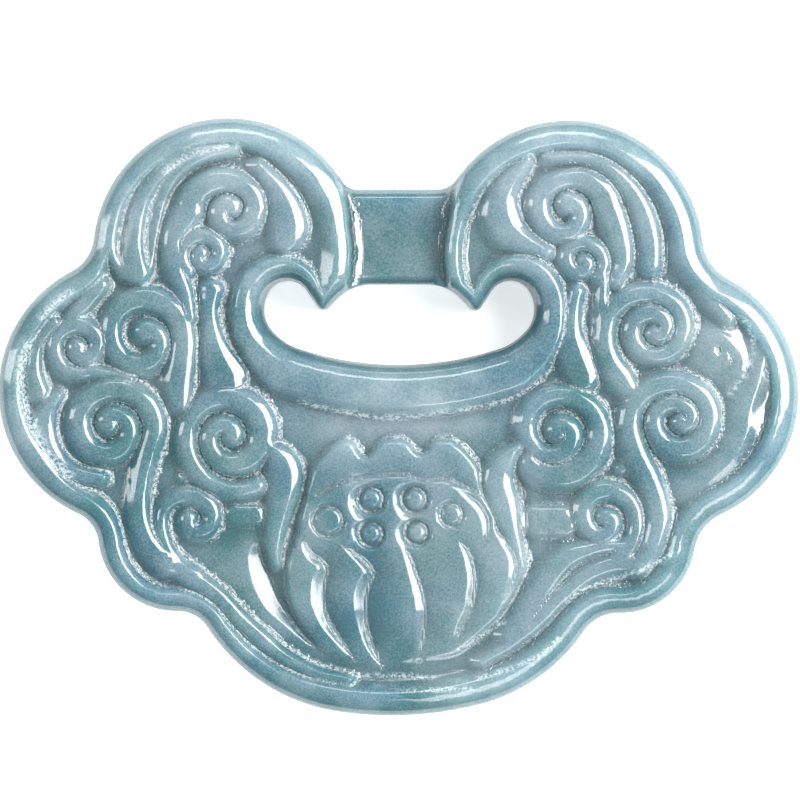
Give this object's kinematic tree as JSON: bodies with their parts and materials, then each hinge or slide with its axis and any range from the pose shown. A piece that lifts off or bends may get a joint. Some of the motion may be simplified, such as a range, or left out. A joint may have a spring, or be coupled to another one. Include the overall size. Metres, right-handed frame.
{
  "type": "carved jade lock pendant with lotus and clouds",
  "caption": "Lock-shaped jade pendant with a raised rim, cloud scrolls and a lotus in relief, and a crescent opening under a flat bar for a cord; it lies on its flat back.",
  "frame": {"origin": "on the flat back, under the centre of the outline's box", "axes": "+Z out of the carved face, +Y towards the cord bar, +X to the right as the carved face is seen"},
  "size_m": [0.0501, 0.0374, 0.006],
  "materials": {
    "jade": "polished translucent blue-green jadeite with satin recesses"
  },
  "bodies": {
    "root": {"jade_lock_plate": "jade"}
  },
  "joints": []
}
